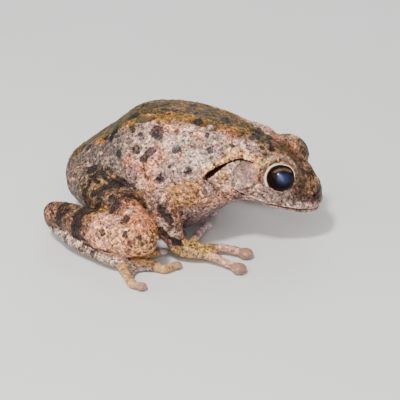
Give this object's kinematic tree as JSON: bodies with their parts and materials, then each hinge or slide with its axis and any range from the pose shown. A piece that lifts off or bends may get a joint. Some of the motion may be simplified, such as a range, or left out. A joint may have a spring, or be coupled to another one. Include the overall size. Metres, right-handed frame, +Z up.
{
  "type": "spot-legged tree frog",
  "caption": "Life-size still model of a resting tree frog: blunt head with bulging eyes, full trunk, folded legs, padded fingers and webbed toes.",
  "frame": {"origin": "the floor point below the middle of the frog's bounding box", "axes": "+X to the snout, +Y to the frog's left, +Z up; the frog is the same on both sides of the XZ plane"},
  "size_m": [0.0616, 0.0688, 0.0291],
  "materials": {
    "skin_back": "moist satin skin, pale grey-pink with brown speckles and an ochre back",
    "skin_head": "moist satin skin, olive-brown crown with paler lips",
    "skin_arm": "moist satin skin, ochre with dark bars",
    "skin_leg": "moist satin skin, pink-brown with dark bars",
    "skin_digits": "smooth moist skin, golden pink with pale pads",
    "eye": "wet glossy dark eye with a blue sheen"
  },
  "bodies": {
    "root": {"torso": "skin_back", "head": "skin_head", "eye_right": "eye", "eye_left": "eye", "upper_arm_right": "skin_arm", "upper_arm_left": "skin_arm", "forearm_right": "skin_arm", "forearm_left": "skin_arm", "hand_right": "skin_digits", "hand_left": "skin_digits", "thigh_right": "skin_leg", "thigh_left": "skin_leg", "shank_right": "skin_leg", "shank_left": "skin_leg", "foot_right": "skin_digits", "foot_left": "skin_digits"}
  },
  "joints": []
}
